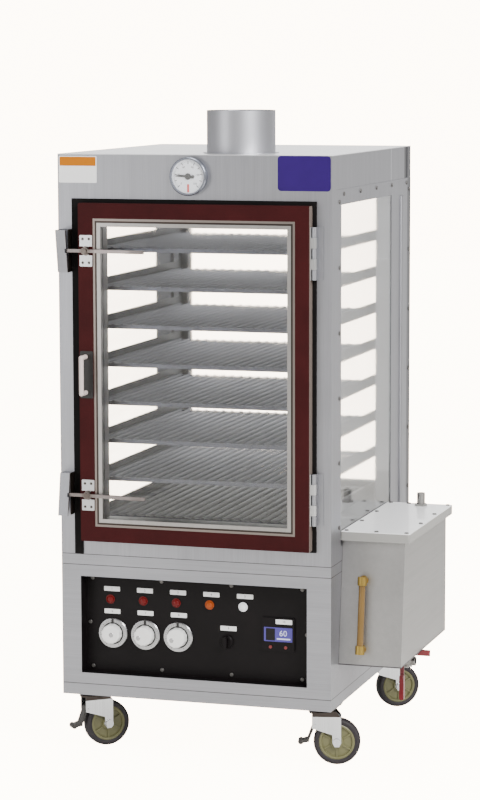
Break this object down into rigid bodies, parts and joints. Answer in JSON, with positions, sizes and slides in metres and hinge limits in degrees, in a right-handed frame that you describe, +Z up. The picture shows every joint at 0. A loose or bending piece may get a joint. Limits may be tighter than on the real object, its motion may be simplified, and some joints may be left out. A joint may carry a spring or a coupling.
{
  "type": "steaming cabinet",
  "caption": "Stainless steaming cabinet on casters, with a glazed door over a boiler housing with a set-back control panel, and a water tank on its side.",
  "frame": {"origin": "middle of the whole part's footprint, on the floor under the wheels", "axes": "+X to the right of the front, +Y from the front to the back, +Z up"},
  "size_m": [0.755, 0.743, 1.382],
  "materials": {
    "stainless": "brushed stainless sheet",
    "bright_stainless": "polished stainless",
    "lid_white": "white enamel",
    "maroon": "satin maroon",
    "panel_black": "semi-matt black",
    "clear_glass": "clear toughened glass",
    "black_rubber": "matt",
    "tread": "matt black tread on an olive hub",
    "zinc": "bright zinc plate",
    "dark_steel": "black oxide",
    "knob_white": "gloss white with a bright skirt",
    "knob_black": "matt black",
    "lamp_red": "clear red lens",
    "timer_blue": "blue face",
    "brass": "polished",
    "amber_tube": "clear amber",
    "lever_red": "red dipped sleeve",
    "valve_nickel": "nickel plated",
    "dial_white": "white dial in a polished case",
    "device_grey": "moulded"
  },
  "bodies": {
    "cabinet": {"base_tray": "stainless", "cable_gland": "knob_black", "case_screws": "bright_stainless", "caster_mounts": "zinc", "chamber_glass": "clear_glass", "control_gear": "device_grey", "control_panel": "panel_black", "deck_frame": "stainless", "door_gasket": "black_rubber", "drain_pipes": "valve_nickel", "floor_grid": "bright_stainless", "flue_collar": "stainless", "front_frame": "stainless", "gauge_case": "dial_white", "glazing_frames": "stainless", "heating_elements": "stainless", "hinge_post_leaves": "bright_stainless", "indicator_lamps": "lamp_red", "inlet_valve": "valve_nickel", "latch_keepers": "bright_stainless", "lower_housing": "stainless", "rear_frame": "stainless", "roof_panels": "stainless", "shelf_racks": "stainless", "side_frames": "stainless", "sight_fittings": "brass", "sight_tube": "amber_tube", "tank_body": "stainless", "tank_lid": "lid_white", "timer_body": "timer_blue", "water_pan": "stainless", "wire_shelves": "bright_stainless"},
    "door": {"door_frame": "maroon", "door_bezel": "bright_stainless", "door_glass": "clear_glass", "door_pull": "knob_black", "latch_plates": "bright_stainless", "hinge_door_leaves": "bright_stainless"},
    "upper_lever": {"upper_latch_lever": "bright_stainless"},
    "lower_lever": {"lower_latch_lever": "bright_stainless"},
    "selector": {"selector_knob": "knob_black"},
    "left_button": {"timer_button_left": "knob_white"},
    "right_button": {"timer_button_right": "knob_white"},
    "pointer": {"gauge_pointer": "dark_steel"},
    "pan_drain_handle": {"pan_drain_lever": "lever_red"},
    "tank_drain_handle": {"tank_drain_lever": "lever_red"},
    "float": {"float_arm": "bright_stainless"},
    "thermostat_1": {"thermostat_knob_1": "knob_white"},
    "thermostat_2": {"thermostat_knob_2": "knob_white"},
    "thermostat_3": {"thermostat_knob_3": "knob_white"},
    "front_left_swivel": {"front_left_fork": "zinc"},
    "front_left_roller": {"front_left_wheel": "tread"},
    "front_right_swivel": {"front_right_fork": "zinc"},
    "front_right_roller": {"front_right_wheel": "tread"},
    "rear_left_swivel": {"rear_left_fork": "zinc"},
    "rear_left_roller": {"rear_left_wheel": "tread"},
    "rear_right_swivel": {"rear_right_fork": "zinc"},
    "rear_right_roller": {"rear_right_wheel": "tread"},
    "front_left_pedal": {"front_left_brake": "dark_steel"},
    "front_right_pedal": {"front_right_brake": "dark_steel"}
  },
  "joints": [
    {"name": "door_hinge", "type": "hinge", "parent": "cabinet", "child": "door", "pos_m": [0.196, -0.331, 0.83], "axis": [0, 0, 1], "range_deg": [0, 120]},
    {"name": "upper_latch_turn", "type": "hinge", "parent": "door", "child": "upper_lever", "pos_m": [-0.3005, -0.3408, 1.0895], "axis": [0, 1, 0], "range_deg": [-15, 60]},
    {"name": "lower_latch_turn", "type": "hinge", "parent": "door", "child": "lower_lever", "pos_m": [-0.3005, -0.3408, 0.57], "axis": [0, -1, 0], "range_deg": [-15, 60]},
    {"name": "selector_turn", "type": "hinge", "parent": "cabinet", "child": "selector", "pos_m": [-0.01, -0.2835, 0.259], "axis": [0, 1, 0], "range_deg": [-45, 45]},
    {"name": "pointer_swing", "type": "hinge", "parent": "cabinet", "child": "pointer", "pos_m": [-0.0779, -0.3305, 1.247], "axis": [0, 1, 0], "range_deg": [-45, 225]},
    {"name": "pan_drain_turn", "type": "hinge", "parent": "cabinet", "child": "pan_drain_handle", "pos_m": [0.3055, 0.0055, 0.177], "axis": [0, -1, 0], "range_deg": [0, 90]},
    {"name": "tank_drain_turn", "type": "hinge", "parent": "cabinet", "child": "tank_drain_handle", "pos_m": [0.2805, -0.0545, 0.189], "axis": [0, 0, -1], "range_deg": [0, 90]},
    {"name": "float_swing", "type": "hinge", "parent": "cabinet", "child": "float", "pos_m": [0.3115, 0.1085, 0.4545], "axis": [-1, 0, 0], "range_deg": [0, 40]},
    {"name": "thermostat_1_turn", "type": "hinge", "parent": "cabinet", "child": "thermostat_1", "pos_m": [-0.2671, -0.2835, 0.2626], "axis": [0, 1, 0], "range_deg": [0, 270]},
    {"name": "thermostat_2_turn", "type": "hinge", "parent": "cabinet", "child": "thermostat_2", "pos_m": [-0.1931, -0.2835, 0.2626], "axis": [0, 1, 0], "range_deg": [0, 270]},
    {"name": "thermostat_3_turn", "type": "hinge", "parent": "cabinet", "child": "thermostat_3", "pos_m": [-0.1191, -0.2835, 0.2626], "axis": [0, 1, 0], "range_deg": [0, 270]},
    {"name": "left_button_press", "type": "slide", "parent": "cabinet", "child": "left_button", "axis": [0, 1, 0], "range_m": [0, 0.0012], "stiffness_N_per_m": 800, "springref_m": -0.001},
    {"name": "right_button_press", "type": "slide", "parent": "cabinet", "child": "right_button", "axis": [0, 1, 0], "range_m": [0, 0.0012], "stiffness_N_per_m": 800, "springref_m": -0.001},
    {"name": "front_left_swivel_turn", "type": "hinge", "parent": "cabinet", "child": "front_left_swivel", "pos_m": [-0.3315, -0.2465, 0.12], "axis": [0, 0, 1], "continuous": true},
    {"name": "front_left_wheel_roll", "type": "hinge", "parent": "front_left_swivel", "child": "front_left_roller", "pos_m": [-0.30622, -0.22529, 0.05], "axis": [-0.6428, 0.766, 0], "continuous": true},
    {"name": "front_left_brake_press", "type": "hinge", "parent": "front_left_swivel", "child": "front_left_pedal", "pos_m": [-0.34146, -0.25486, 0.086], "axis": [0.6428, -0.766, 0], "range_deg": [0, 10]},
    {"name": "front_right_swivel_turn", "type": "hinge", "parent": "cabinet", "child": "front_right_swivel", "pos_m": [0.1885, -0.2465, 0.12], "axis": [0, 0, 1], "continuous": true},
    {"name": "front_right_wheel_roll", "type": "hinge", "parent": "front_right_swivel", "child": "front_right_roller", "pos_m": [0.22052, -0.23852, 0.05], "axis": [-0.2419, 0.9703, 0], "continuous": true},
    {"name": "front_right_brake_press", "type": "hinge", "parent": "front_right_swivel", "child": "front_right_pedal", "pos_m": [0.17588, -0.24964, 0.086], "axis": [0.2419, -0.9703, 0], "range_deg": [0, 10]},
    {"name": "rear_left_swivel_turn", "type": "hinge", "parent": "cabinet", "child": "rear_left_swivel", "pos_m": [-0.3315, 0.2835, 0.12], "axis": [0, 0, 1], "continuous": true},
    {"name": "rear_left_wheel_roll", "type": "hinge", "parent": "rear_left_swivel", "child": "rear_left_roller", "pos_m": [-0.30136, 0.29692, 0.05], "axis": [-0.4067, 0.9135, 0], "continuous": true},
    {"name": "rear_right_swivel_turn", "type": "hinge", "parent": "cabinet", "child": "rear_right_swivel", "pos_m": [0.1885, 0.2835, 0.12], "axis": [0, 0, 1], "continuous": true},
    {"name": "rear_right_wheel_roll", "type": "hinge", "parent": "rear_right_swivel", "child": "rear_right_roller", "pos_m": [0.21586, 0.30195, 0.05], "axis": [-0.5592, 0.829, 0], "continuous": true}
  ]
}
